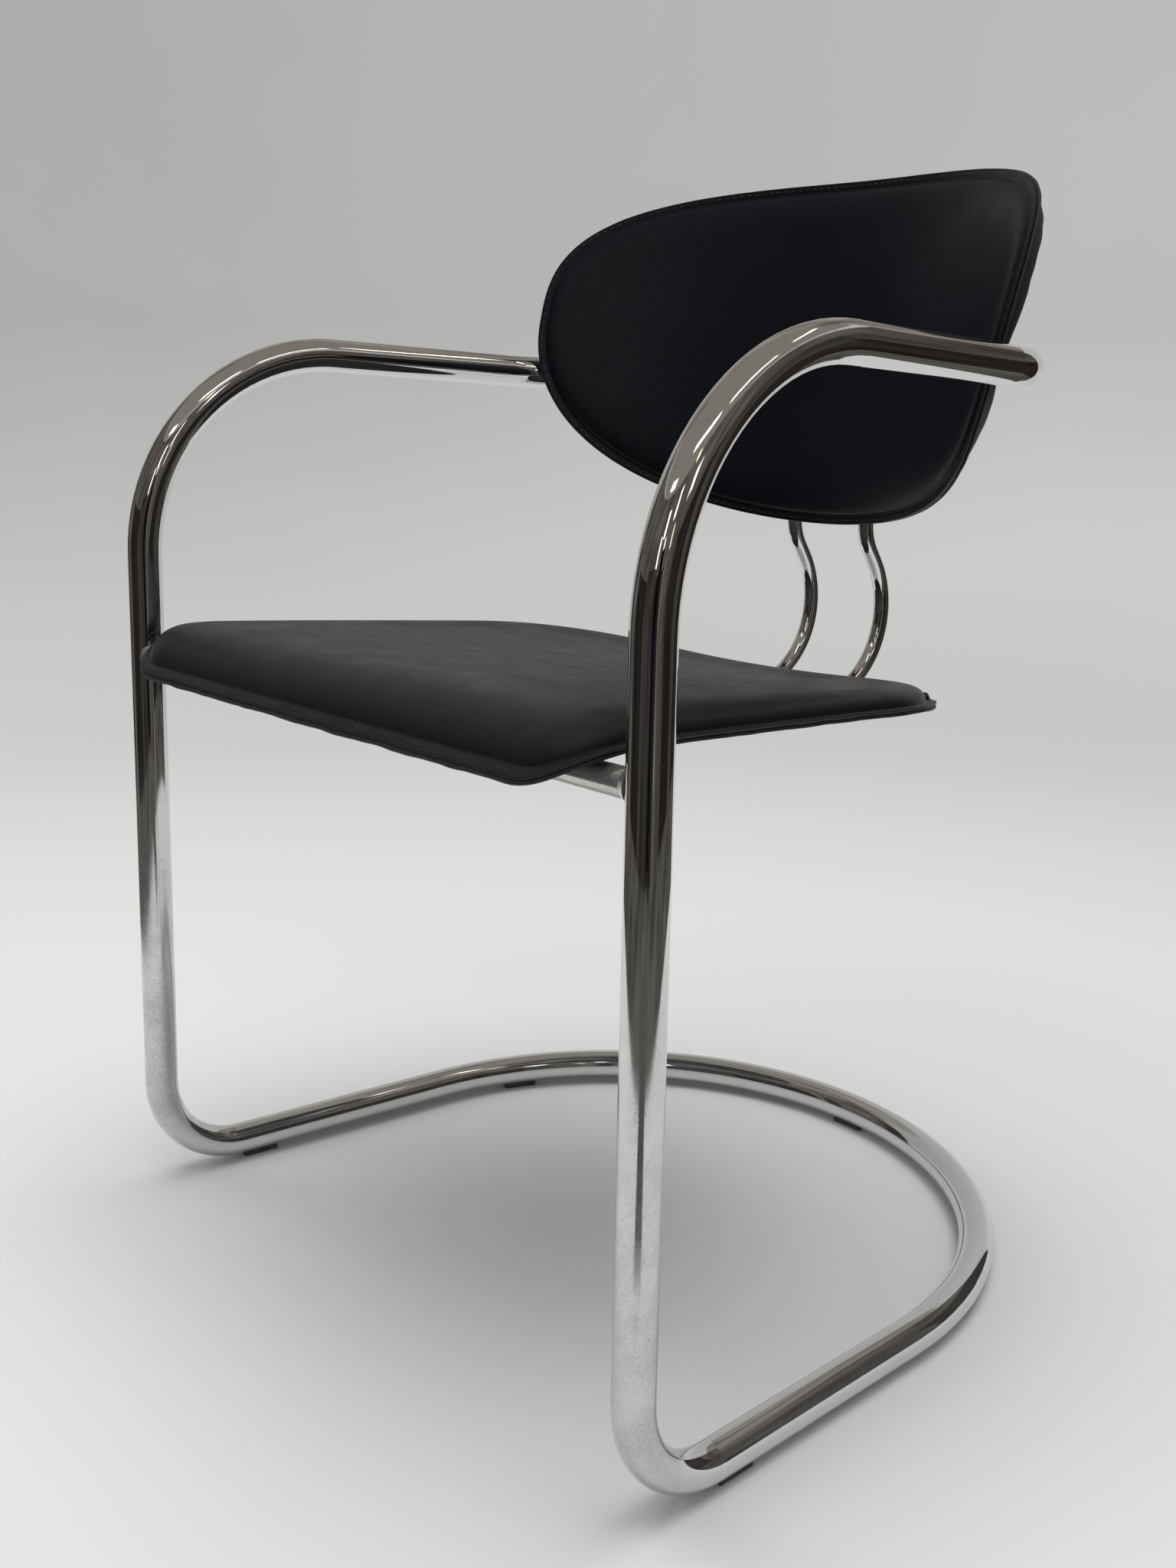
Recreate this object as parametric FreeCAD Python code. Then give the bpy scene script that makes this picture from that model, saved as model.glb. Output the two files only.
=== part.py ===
import FreeCAD, Part
import math
import os
from FreeCAD import Vector

# Cantilever armchair of bent steel tube with a leather covered seat and a wrapped backrest.
# Millimetres and degrees, Z up, the sitter looks along -Y, +X is the sitter's left.

# Frame tube
tubeDiameter = 25.4
tubeWall = 2.0
legSpacing = 573.0          # between the leg axes at the floor end
armHeight = 659.7           # where the axes of leg and arm cross
legSplay = 0.33             # each leg leans in towards its top
legLean = 0.96              # each leg leans back towards its top
armBendRadius = 151.0
footBendRadius = 65.0
baseRun = 259.0             # from the leg to the start of the rear curve
baseConverge = 3.65         # the base runs draw together to the rear
sleeveLength = 60.0
sleeveWall = 2.0

# Arm ends, which lie along the outside of the backrest
hookRadius = 68.0
hookBefore = 26.0           # from the corner of the hook to its stud
hookAfter = 13.0            # from the stud to the cut end
hookReach = 250.0           # measured along the backrest from its middle
hookHeight = 644.5
capRim = 1.6
capPlug = 9.0
studDiameter = 6.0

# Glides under the base
glideLength = 28.0
glideWidth = 13.0
glideDrop = 2.5             # plastic between the tube and the floor
glideWrap = 3.0             # how far the saddle rises beside the tube
glideCorner = 1.5
frontGlideBack = 83.0       # centre of the front glides behind the leg axes
sideGlideTurn = 21.0        # angle past the start of the rear curve
pinDiameter = 5.0
pinDepth = 6.0

# Bar and rods
crossbarDiameter = 17.0
crossbarWall = 1.5
rodDiameter = 12.0
rodSpacing = 74.4
rodRearReach = 540.0        # where the two straight runs of a rod would cross, behind the legs
rodRearHeight = 384.4
rodLowBend = 66.8
rodHighBend = 40.0
rodHighHeight = 520.0
rodTopHeight = 645.0
weldLeg = 2.6

# Seat
seatFrontWidth = 524.0
seatRearWidth = 440.0
seatOverhang = 28.0         # front edge ahead of the leg axes
seatDepth = 416.0
seatFrontCorner = 44.0
seatRearCorner = 133.0
seatHeight = 443.2          # stitched edge at the leg axes, before the front edge turns down
seatSlope = 0.09            # fall per length to the rear
seatDroop = 22.5            # the front edge hangs this much lower
seatDroopRun = 86.0
seatDish = 12.0             # rise of the rear edge, this far apart
seatDishWidth = 412.0
seatCrown = 13.0
seatBelly = 1.5
seatCoreThickness = 7.5
seatCrownRound = 11.0
leather = 2.2
rimWidth = 7.0              # flat stitched edge round seat and back

# Backrest, a slanted cone whose rings lie level
backWidth = 549.0           # measured round the curve
backMiddle = 681.5          # height of the widest place
backRise = 103.5
backDrop = 155.0
backReach = 467.0           # behind the leg axes
backRadius = 296.0
backFlare = 0.325           # radius gained per height
backLean = 0.172            # rearward per height
backTopPower = 3.0          # fullness of the upper edge
backBottomPower = 2.05      # fullness of the lower edge
backCrown = 7.0
backBelly = 2.5
backCoreThickness = 5.0
backCrownRound = 5.0

# Fixings
strapWidth = 30.0
strapLength = 150.0
strapThickness = 3.0
strapBack = 330.0           # behind the leg axes
strapScrewSpacing = 112.0
frontScrewSpacing = 300.0
plateWidth = 104.0
plateThickness = 3.0
plateLow = 560.0
plateHigh = 632.0
plateScrewInset = 16.0
screwDiameter = 5.0
headDiameter = 9.5
headHeight = 3.2
insertDiameter = 9.0
insertInset = 0.6

# Clearances
fitGap = 0.2                # between soft layers and what they cover
seatGap = 0.3               # between padded parts and the metal that carries them
holeGap = 0.2               # round pins, studs and screws
sewGap = 0.01               # edges of one skin that close on each other
weldToe = 0.2               # thin end of a weld bead
levelTolerance = 0.4        # for finding the edges of one level
cutReach = 30.0             # cutting surfaces run this far past the backrest
cutMargin = 1.12            # the curved slab is this much larger than the backrest

tubeRadius = tubeDiameter / 2
tubeInner = tubeRadius - tubeWall
baseHeight = glideDrop + tubeRadius
crossbarRadius = crossbarDiameter / 2
rodRadius = rodDiameter / 2


# Straight runs joined by tangent arcs, through corners with a bend radius each
def bentPath(points, radii):
    edges = []
    last = points[0]
    for i in range(1, len(points) - 1):
        back = (points[i - 1] - points[i]).normalize()
        ahead = (points[i + 1] - points[i]).normalize()
        half = back.getAngle(ahead) / 2
        middle = (back + ahead).normalize()
        tangent = radii[i - 1] / math.tan(half)
        start = points[i] + back * tangent
        end = points[i] + ahead * tangent
        crest = points[i] + middle * (radii[i - 1] / math.sin(half) - radii[i - 1])
        edges.append(Part.makeLine(last, start))
        edges.append(Part.Arc(start, crest, end).toShape())
        last = end
    edges.append(Part.makeLine(last, points[-1]))
    return edges


# A round bar along a path of edges
def bar(edges, radius):
    first = edges[0]
    start = first.valueAt(first.FirstParameter)
    ahead = first.tangentAt(first.FirstParameter)
    section = Part.Wire(Part.Circle(start, ahead, radius).toShape())
    return Part.Wire(edges).makePipeShell([section], True, False)


# A point down or up the axis of one leg, side is 1 for the left and -1 for the right
def legPoint(side, height):
    splay = math.tan(math.radians(legSplay))
    lean = math.tan(math.radians(legLean))
    return Vector(side * (legSpacing / 2 - splay * height), lean * height, height)


# Radius and centre of the backrest's level ring at a height
def backRing(height):
    above = height - backMiddle
    radius = backRadius + backFlare * above
    centre = backReach - radius + backLean * above
    return radius, centre


# A point of the backrest: distance round the curve, height, distance behind the stitched edge
def backPoint(along, height, behind):
    radius, centre = backRing(height)
    turn = along / radius
    reach = radius + behind
    return Vector(reach * math.sin(turn), centre + reach * math.cos(turn), height)


# Direction that leaves the backrest square to its rear
def backNormal(along, height):
    turn = along / backRing(height)[0]
    spread = backFlare + (backLean - backFlare) * math.cos(turn)
    return Vector(math.sin(turn), math.cos(turn), -spread).normalize()


# Where the axis of a fixing through the backrest meets a surface behind the stitched edge
def fixingPoint(place, behind):
    outward = backNormal(*place)
    level = math.hypot(outward.x, outward.y)
    return backPoint(*place, backBelly) + outward * ((behind - backBelly) * level)


# The front end of an insert in the backrest's core
def insertStart(place):
    depth = backCoreThickness + fitGap - insertInset
    return backPoint(*place, backBelly) - backNormal(*place) * depth


def hookPlace(side):
    return side * hookReach, hookHeight


# Where an arm's stud stands on the tube axis
def hookSeat(side):
    surface = fixingPoint(hookPlace(side), leather + backBelly)
    return surface + hookNormal(side) * (seatGap + tubeRadius)


def hookNormal(side):
    return backNormal(*hookPlace(side))


def hookAhead(side):
    return Vector(0, 0, side).cross(hookNormal(side)).normalize()


def hookEnd(side):
    return hookSeat(side) + hookAhead(side) * hookAfter


def baseTurnPoint(side):
    foot = legPoint(side, baseHeight)
    turn = math.radians(baseConverge)
    return foot + Vector(-side * math.sin(turn), math.cos(turn), 0) * baseRun


def rearRadius():
    return baseTurnPoint(1).x / math.cos(math.radians(baseConverge))


def rearCentre():
    start = baseTurnPoint(1)
    return Vector(0, start.y - rearRadius() * math.sin(math.radians(baseConverge)), baseHeight)


# A point on the rear curve, by its angle from the +X side
def rearPoint(side, angle):
    turn = math.radians(angle)
    reach = Vector(side * math.cos(turn), math.sin(turn), 0) * rearRadius()
    return rearCentre() + reach


# Centre line of half the frame, from the arm's cut end to the middle of the rear curve
def framePath(side):
    corner = hookSeat(side) - hookAhead(side) * hookBefore
    points = [hookEnd(side), corner, legPoint(side, armHeight), legPoint(side, baseHeight),
              baseTurnPoint(side)]
    edges = bentPath(points, [hookRadius, armBendRadius, footBendRadius])
    crest = rearPoint(side, (90 + baseConverge) / 2)
    edges.append(Part.Arc(baseTurnPoint(side), crest, rearPoint(side, 90)).toShape())
    return edges


def frameBar(side):
    return bar(framePath(side), tubeRadius)


# A stud stands square to the tube, from inside it to the far side of its insert
def armStud(side, gap=0.0):
    outward = hookNormal(side)
    start = hookSeat(side) - outward * (tubeInner - studDiameter / 2)
    end = insertStart(hookPlace(side))
    return Part.makeCylinder(studDiameter / 2 + gap, (start - end).Length, start, -outward)


def frameTube(side):
    tube = frameBar(side).cut(bar(framePath(side), tubeInner))
    for seat in glideSeats():
        tube = tube.cut(glidePin(seat, holeGap))
    return tube.cut(armStud(side, holeGap))


def baseSleeve():
    turn = math.degrees(sleeveLength / 2 / rearRadius())
    path = [Part.Arc(rearPoint(1, 90 - turn), rearPoint(1, 90), rearPoint(-1, 90 - turn)).toShape()]
    outer = tubeInner - fitGap
    sleeve = bar(path, outer).cut(bar(path, outer - sleeveWall))
    return sleeve.cut(glidePin(glideSeats()[-1], holeGap))


def armCap(side):
    ahead = hookAhead(side)
    end = hookEnd(side)
    rim = Part.makeCylinder(tubeRadius, capRim, end, ahead)
    edge = max(rim.Edges, key=lambda e: e.BoundBox.Center.sub(end).dot(ahead))
    rim = rim.makeFillet(capRim / 2, [edge])
    plug = Part.makeCylinder(tubeInner - fitGap, capPlug, end - ahead * capPlug, ahead)
    return rim.fuse(plug).removeSplitter()


# Each glide has a path below the tube: straight under the runs, curved under the rear
def glideSeats():
    seats = []
    for side in (1, -1):
        foot = legPoint(side, baseHeight)
        ahead = (baseTurnPoint(side) - foot).normalize()
        middle = foot + ahead * (frontGlideBack / math.cos(math.radians(baseConverge)))
        ends = (middle - ahead * glideLength / 2, middle + ahead * glideLength / 2)
        name = "front_left" if side > 0 else "front_right"
        seats.append((name, middle, Part.makeLine(*ends)))
    half = math.degrees(glideLength / 2 / rearRadius())
    places = (("side_left", 1, sideGlideTurn), ("side_right", -1, sideGlideTurn), ("rear", 1, 90))
    for name, side, angle in places:
        curve = [rearPoint(side, angle + step * half) for step in (-1, 0, 1)]
        seats.append((name, curve[1], Part.Arc(*curve).toShape()))
    return seats


def glide(seat):
    name, middle, path = seat
    start = path.valueAt(path.FirstParameter)
    ahead = path.tangentAt(path.FirstParameter)
    across = Vector(ahead.y, -ahead.x, 0) * (glideWidth / 2)
    up = Vector(0, 0, glideDrop + glideWrap)
    floor = Vector(start.x, start.y, 0)
    corners = [floor - across, floor + across, floor + across + up, floor - across + up]
    section = Part.makePolygon(corners + corners[:1])
    block = Part.Wire([path]).makePipeShell([section], True, False)
    ground = [e for e in block.Edges if e.BoundBox.ZMax < glideCorner]
    block = block.makeFillet(glideCorner, sorted(ground, key=lambda e: -e.Length)[:2])
    for side in (1, -1):
        block = block.cut(frameBar(side))
    return block.cut(glidePin(seat, holeGap))


def glidePin(seat, gap=0.0):
    middle = seat[1]
    low = glideDrop / 2
    height = baseHeight - tubeRadius + pinDepth - low
    return Part.makeCylinder(pinDiameter / 2 + gap, height, Vector(middle.x, middle.y, low))


# Seat surface, the level of the stitched edge
def seatLevel(x, y):
    droopStart = seatDroopRun - seatOverhang
    droop = seatDroop * (max(0, droopStart - y) / seatDroopRun) ** 4
    rearward = (y + seatOverhang) / seatDepth
    dish = seatDish * rearward * (2 * x / seatDishWidth) ** 2
    return seatHeight - seatSlope * y - droop + dish


def seatOutline(inset):
    front = -seatOverhang
    rear = seatDepth - seatOverhang
    corners = [(seatFrontWidth / 2, front, seatFrontCorner), (seatRearWidth / 2, rear, seatRearCorner),
               (-seatRearWidth / 2, rear, seatRearCorner), (-seatFrontWidth / 2, front, seatFrontCorner)]
    middle = Vector(0, front, 0)
    points = [middle] + [Vector(x, y, 0) for x, y, radius in corners] + [middle]
    outline = Part.Wire(bentPath(points, [radius for x, y, radius in corners]))
    if inset == 0:
        return outline
    return outline.makeOffset2D(-inset)


def seatSheet():
    steps = 16
    half = seatFrontWidth / 2 + rimWidth
    front = -seatOverhang - rimWidth
    length = seatDepth + 2 * rimWidth
    rows = []
    for i in range(steps + 1):
        y = front + length * i / steps
        xs = [half * (2 * j / steps - 1) for j in range(steps + 1)]
        rows.append([Vector(x, y, seatLevel(x, y)) for x in xs])
    surface = Part.BSplineSurface()
    surface.interpolate(rows)
    return surface.toShape()


# A layer of the seat between two heights over the stitched edge's level
def seatLayer(inset, low, high):
    sheet = seatSheet()
    sheet.translate(Vector(0, 0, low))
    slab = sheet.extrude(Vector(0, 0, high - low))
    column = Part.Face(seatOutline(inset)).extrude(Vector(0, 0, 2 * seatHeight))
    return column.common(slab).Solids[0]


# Rounds the upper or lower border of a seat layer, whose level is given
def roundSeat(layer, level, radius):
    border = []
    for edge in layer.Edges:
        p = edge.valueAt((edge.FirstParameter + edge.LastParameter) / 2)
        if abs(p.z - seatLevel(p.x, p.y) - level) < levelTolerance:
            border.append(edge)
    return layer.makeFillet(radius, border)


def seatCoreTop():
    return seatCoreThickness + fitGap - seatBelly


def seatCore():
    core = seatLayer(rimWidth + leather + fitGap, fitGap - seatBelly, seatCoreTop())
    for insert in seatInserts(True):
        core = core.cut(insert)
    return core


# The foam fills the cover's crown above the core
def seatFoam():
    top = seatCrown - fitGap
    filling = seatLayer(rimWidth + leather + fitGap, -seatBelly, top)
    filling = roundSeat(filling, top, seatCrownRound - leather)
    return filling.cut(seatLayer(0, -leather - seatBelly, seatCoreTop() + fitGap)).Solids[0]


# The cover's crown rises from a flat stitched edge that goes all round
def seatTopLeather():
    top = leather + seatCrown
    crown = roundSeat(seatLayer(rimWidth, leather / 2, top), top, seatCrownRound)
    flange = seatLayer(0, fitGap / 2, leather)
    inside = seatLayer(rimWidth + leather, -seatBelly, seatCrown)
    inside = roundSeat(inside, seatCrown, seatCrownRound - leather)
    return flange.fuse(crown).cut(inside).Solids[0]


def seatUnderLeather():
    bottom = -leather - seatBelly
    belly = roundSeat(seatLayer(rimWidth, bottom, -leather / 2), bottom, seatBelly * 0.8)
    flange = seatLayer(0, -leather, -fitGap / 2)
    inside = seatLayer(rimWidth + leather, -seatBelly, leather)
    skin = flange.fuse(belly).cut(inside).Solids[0]
    for shank in seatScrewShanks(holeGap):
        skin = skin.cut(shank)
    return skin


def seatUnderside(x, y):
    return seatLevel(x, y) - leather - seatBelly


def crossbarAxis(x):
    leg = legPoint(1, seatHeight)
    height = seatUnderside(0, leg.y) - seatGap - crossbarRadius
    return Vector(x, leg.y, height)


# The bar between the legs, coped to them
def crossbar():
    tube = wholeCrossbar().cut(wholeCrossbar(crossbarWall))
    for side in (1, -1):
        tube = tube.cut(legBar(side))
    tube = middleSolid(tube)
    for shank in frontScrewShanks(holeGap):
        tube = tube.cut(shank)
    return tube


# A plain bar in place of one leg, long enough for what is coped to it
def legBar(side):
    low = legPoint(side, seatHeight / 2)
    high = legPoint(side, armHeight)
    return Part.makeCylinder(tubeRadius, (high - low).Length, low, high - low)


def middleSolid(shape):
    return min(shape.Solids, key=lambda s: abs(s.CenterOfGravity.x))


# Fillet of weld round each end of the bar
def crossbarWelds():
    beads = []
    for side in (1, -1):
        centre = crossbarAxis(0)
        axis = legPoint(side, centre.z)
        root = axis.x - side * math.sqrt(tubeRadius ** 2 - crossbarRadius ** 2)
        start = Vector(root, centre.y, centre.z)
        reach = abs(axis.x - root) - tubeRadius
        length = weldLeg - reach
        wide = crossbarRadius + weldLeg
        bead = Part.makeCone(wide, crossbarRadius + weldToe, length, start, Vector(-side, 0, 0))
        bead = bead.cut(Part.makeCylinder(crossbarRadius, 4 * length, start + Vector(side * length, 0, 0),
                                          Vector(-side, 0, 0)))
        beads.append(bead.cut(legBar(side)).Solids[0])
    return beads


# Rod centre line: under the seat, up behind it, then up the rear of the backrest
def rodPath(side):
    x = side * rodSpacing / 2
    behind = leather + backBelly + seatGap + plateThickness + rodRadius
    front = crossbarAxis(x)
    corner = Vector(x, rodRearReach, rodRearHeight)
    points = [front, corner]
    for height in (rodHighHeight, rodTopHeight):
        points.append(Vector(x, backPoint(x, height, behind).y, height))
    return bentPath(points, [rodLowBend, rodHighBend])


def backRod(side):
    rod = bar(rodPath(side), rodRadius)
    top = rodTopRound(side)
    rod = rod.cut(top).cut(wholeCrossbar())
    return max(rod.Solids, key=lambda s: s.Volume)


# Takes the sharp edge off a rod's upper end
def rodTopRound(side):
    last = rodPath(side)[-1]
    end = last.valueAt(last.LastParameter)
    ahead = last.tangentAt(last.LastParameter)
    chamfer = rodRadius / 4
    block = Part.makeCylinder(rodRadius * 2, chamfer, end - ahead * chamfer, ahead)
    return block.cut(Part.makeCone(rodRadius, rodRadius - chamfer, chamfer, end - ahead * chamfer, ahead))


def wholeCrossbar(wall=0.0):
    start = crossbarAxis(-legSpacing / 2)
    return Part.makeCylinder(crossbarRadius - wall, legSpacing, start, Vector(1, 0, 0))


# Bead where each rod butts against the crossbar
def rodWelds():
    beads = []
    for side in (1, -1):
        start = crossbarAxis(side * rodSpacing / 2)
        first = rodPath(side)[0]
        ahead = first.tangentAt(first.FirstParameter)
        wide = rodRadius + weldLeg
        bead = Part.makeCone(wide, rodRadius + weldToe, crossbarRadius + weldLeg, start, ahead)
        bead = bead.cut(Part.makeCylinder(rodRadius, crossbarRadius + 2 * weldLeg, start, ahead))
        bead = bead.cut(wholeCrossbar())
        beads.append(max(bead.Solids, key=lambda s: s.CenterOfGravity.y))
    return beads


# Flat steel strap welded over the rods, which carries the rear of the seat
def strapFrame(shape):
    tilt = -math.degrees(math.atan(seatSlope))
    shape.rotate(Vector(0, 0, 0), Vector(1, 0, 0), tilt)
    shape.translate(Vector(0, strapBack, seatUnderside(0, strapBack) - seatGap))
    return shape


def seatStrap():
    plate = Part.makeBox(strapLength, strapWidth, strapThickness,
                         Vector(-strapLength / 2, -strapWidth / 2, -strapThickness))
    ends = [e for e in plate.Edges if e.BoundBox.ZLength > strapThickness / 2]
    plate = strapFrame(plate.makeFillet(strapWidth / 4, ends))
    for side in (1, -1):
        plate = plate.cut(bar(rodPath(side), rodRadius))
    for shank in rearScrewShanks(holeGap):
        plate = plate.cut(shank)
    return max(plate.Solids, key=lambda s: s.Volume)


# Screw shanks stand square to the seat at their place
def seatShank(x, y, low, gap):
    high = seatLevel(x, y) + seatCoreTop() - insertInset
    return Part.makeCylinder(screwDiameter / 2 + gap, high - low, Vector(x, y, low))


def frontScrewLow():
    return crossbarAxis(0).z - crossbarRadius


def rearScrewLow():
    return seatUnderside(0, strapBack) - seatGap - strapThickness


def frontScrewShanks(gap=0.0):
    y = crossbarAxis(0).y
    low = frontScrewLow()
    return [seatShank(side * frontScrewSpacing / 2, y, low, gap) for side in (1, -1)]


def rearScrewShanks(gap=0.0):
    low = rearScrewLow()
    return [seatShank(side * strapScrewSpacing / 2, strapBack, low, gap) for side in (1, -1)]


def seatScrewShanks(gap=0.0):
    return frontScrewShanks(gap) + rearScrewShanks(gap)


def panHead(base, ahead):
    head = Part.makeCylinder(headDiameter / 2, headHeight, base, ahead)
    edge = max(head.Edges, key=lambda e: e.BoundBox.Center.sub(base).dot(ahead))
    head = head.makeFillet(headHeight / 2, [edge])
    socket = Part.makeCylinder(headDiameter / 5, headHeight / 2, base + ahead * headHeight / 2, ahead)
    return head.cut(socket)


def seatScrews(shanks, low):
    screws = []
    for shank in shanks:
        base = Vector(shank.BoundBox.Center.x, shank.BoundBox.Center.y, low)
        head = panHead(base, Vector(0, 0, -1))
        screws.append(head.fuse(shank).removeSplitter())
    return screws


def seatInserts(pockets=False):
    pieces = []
    gap = fitGap / 2 if pockets else 0.0
    for shank in seatScrewShanks():
        x = shank.BoundBox.Center.x
        y = shank.BoundBox.Center.y
        low = seatLevel(x, y) - seatBelly + fitGap
        high = seatLevel(x, y) + seatCoreTop() - insertInset
        if pockets:
            low = low - seatCoreThickness
        body = Part.makeCylinder(insertDiameter / 2 + gap, high - low + gap, Vector(x, y, low))
        if not pockets:
            body = body.cut(Part.makeCylinder(screwDiameter / 2 + holeGap / 2, high - low, Vector(x, y, low)))
        pieces.append(body)
    return pieces


# Backrest outline on the curved surface, at a distance inside the edge
def backOutline(inset, behind):
    steps = 36
    points = []
    for i in range(steps):
        turn = 2 * math.pi * i / steps
        c = math.cos(turn)
        s = math.sin(turn)
        power = backTopPower if s > 0 else backBottomPower
        tall = (backRise if s > 0 else backDrop) - inset
        wide = backWidth / 2 - inset
        along = wide * math.copysign(abs(c) ** (2 / power), c)
        above = tall * math.copysign(abs(s) ** (2 / power), s)
        points.append(backPoint(along, backMiddle + above, behind))
    curve = Part.BSplineCurve()
    curve.interpolate(Points=points, PeriodicFlag=True)
    return curve.toShape()


# Curved slab between two distances behind the stitched edge, larger than the backrest
def backSlab(front, rear):
    sections = []
    for height in (backMiddle - backDrop * cutMargin, backMiddle + backRise * cutMargin):
        radius = backRing(height)[0]
        widest = backWidth / 2 * cutMargin * radius / backRadius
        arcs = []
        for behind, ends in ((front, (-1, 0, 1)), (rear, (1, 0, -1))):
            points = [backPoint(k * widest, height, behind) for k in ends]
            arcs.append(Part.Arc(*points).toShape())
        closing = []
        for this, other in ((arcs[0], arcs[1]), (arcs[1], arcs[0])):
            end = this.valueAt(this.LastParameter)
            start = other.valueAt(other.FirstParameter)
            closing.append(Part.makeLine(end, start))
        sections.append(Part.Wire([arcs[0], closing[0], arcs[1], closing[1]]))
    return Part.makeLoft(sections, True, True)


# The surface that cuts the backrest's border, square to the curve
def backCut(inset):
    return Part.makeRuledSurface(backOutline(inset, -cutReach), backOutline(inset, cutReach))


# A layer of the backrest between two distances behind the stitched edge
def backLayer(inset, front, rear):
    pieces = backSlab(front, rear).generalFuse([backCut(inset)])[0].Solids
    middle = backPoint(0, backMiddle, (front + rear) / 2)
    return [piece for piece in pieces if piece.isInside(middle, 0.01, True)][0]


def roundBack(layer, behind, radius):
    border = []
    for edge in layer.Edges:
        p = edge.valueAt((edge.FirstParameter + edge.LastParameter) / 2)
        ring, centre = backRing(p.z)
        if abs(math.hypot(p.x, p.y - centre) - ring - behind) < levelTolerance and edge.Length > backRise:
            border.append(edge)
    return layer.makeFillet(radius, border)


def backCore():
    rear = backBelly - fitGap
    core = backLayer(rimWidth + leather + fitGap, rear - backCoreThickness, rear)
    for place in backFixings():
        core = core.cut(backInsert(place, True))
    return core


def backFoam():
    rear = backBelly - 2 * fitGap - backCoreThickness
    front = fitGap - backCrown
    foam = backLayer(rimWidth + leather + fitGap, front, rear)
    return roundBack(foam, front, backCrownRound - leather)


# How far behind the stitched edge the middle of a face lies
def faceBehind(face):
    low, high, first, last = face.ParameterRange
    p = face.valueAt((low + high) / 2, (first + last) / 2)
    ring, centre = backRing(p.z)
    return math.hypot(p.x, p.y - centre) - ring


def faceNearest(shape, behind):
    return min(shape.Faces, key=lambda face: abs(faceBehind(face) - behind))


# A layer of the backrest's border, between two distances inside the edge
def backBorder(width, front, rear):
    pieces = backSlab(front, rear).generalFuse([backCut(0), backCut(width)])[0].Solids
    return min(pieces, key=lambda s: s.Volume)


# One leather of the backrest: a flat stitched edge and a crown with rounded corners, open on its inner side.
# Away is -1 for the sitter's side and 1 for the rear.
def backCover(away, crown, corner):
    inner = away * fitGap / 2
    edge = away * leather
    top = away * (leather + crown)
    hollow = away * crown
    outside = backLayer(rimWidth, min(edge, top), max(edge, top))
    inside = backLayer(rimWidth + leather, min(inner, hollow), max(inner, hollow))
    border = backBorder(rimWidth, min(inner, edge), max(inner, edge))
    seam = backBorder(rimWidth + leather, min(inner, edge), max(inner, edge))
    outside = roundBack(outside, top, corner)
    inside = roundBack(inside, hollow, max(corner - leather, fitGap))
    faces = [face for face in outside.Faces if not face.isSame(faceNearest(outside, edge))]
    faces += [face for face in inside.Faces if not face.isSame(faceNearest(inside, inner))]
    sides = [face for face in border.Faces if abs(faceBehind(face) - (inner + edge) / 2) < leather / 4]
    rim = max(sides, key=lambda face: face.Area)
    faces += [faceNearest(border, edge), rim, faceNearest(seam, inner)]
    shell = Part.Shell(faces)
    shell.sewShape(sewGap)
    skin = Part.Solid(shell)
    if skin.Volume < 0:
        skin.reverse()
    return skin


def backFrontLeather():
    return backCover(-1, backCrown, backCrownRound)


def backRearLeather():
    skin = backCover(1, backBelly, backBelly * 0.8)
    for side in (1, -1):
        skin = skin.cut(armStud(side, holeGap))
    for screw in plateScrewShanks(holeGap):
        skin = skin.cut(screw)
    return skin


# Where studs and screws enter the backrest: distance round the curve and height
def backFixings():
    places = [hookPlace(side) for side in (1, -1)]
    return places + [(0, height) for height in plateScrewHeights()]


def plateScrewHeights():
    return (plateLow + plateScrewInset, plateHigh - plateScrewInset)


def backInsert(place, pocket=False):
    outward = backNormal(*place)
    start = insertStart(place)
    length = backCoreThickness - insertInset
    if pocket:
        start = start - outward * (fitGap / 2)
        return Part.makeCylinder((insertDiameter + fitGap) / 2, 2 * length, start, outward)
    bore = studDiameter if place[0] else screwDiameter
    body = Part.makeCylinder(insertDiameter / 2, length - fitGap, start, outward)
    return body.cut(Part.makeCylinder((bore + holeGap) / 2, length, start, outward))


# Steel plate bent to the rear of the backrest, welded to both rods
def rodPlate():
    near = leather + backBelly + seatGap
    slab = backSlab(near, near + plateThickness)
    block = Part.makeBox(plateWidth, 4 * backRadius, plateHigh - plateLow,
                         Vector(-plateWidth / 2, 0, plateLow))
    edges = [e for e in block.Edges if e.BoundBox.YLength > backRadius]
    block = block.makeFillet(plateWidth / 12, edges)
    plate = slab.common(block)
    for side in (1, -1):
        plate = plate.cut(bar(rodPath(side), rodRadius))
    for shank in plateScrewShanks(holeGap):
        plate = plate.cut(shank)
    return max(plate.Solids, key=lambda s: s.Volume)


# Under the head of a plate screw, which stands square to the plate
def plateScrewSeat(height):
    face = fixingPoint((0, height), leather + backBelly + seatGap + plateThickness)
    return face + backNormal(0, height) * (fitGap / 2)


def plateScrewShanks(gap=0.0):
    shanks = []
    for height in plateScrewHeights():
        start = plateScrewSeat(height)
        ahead = -backNormal(0, height)
        length = (insertStart((0, height)) - start).dot(ahead)
        shanks.append(Part.makeCylinder(screwDiameter / 2 + gap, length, start, ahead))
    return shanks


def plateScrews():
    screws = []
    for height, shank in zip(plateScrewHeights(), plateScrewShanks()):
        head = panHead(plateScrewSeat(height), backNormal(0, height))
        screws.append(head.fuse(shank).removeSplitter())
    return screws


def group(solids):
    return Part.makeCompound(list(solids))


# The origin is the middle of the chair's box on the floor
def originShift():
    rear = rearPoint(1, 90).y + tubeRadius
    return Vector(0, (seatOverhang - rear) / 2, 0)


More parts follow.
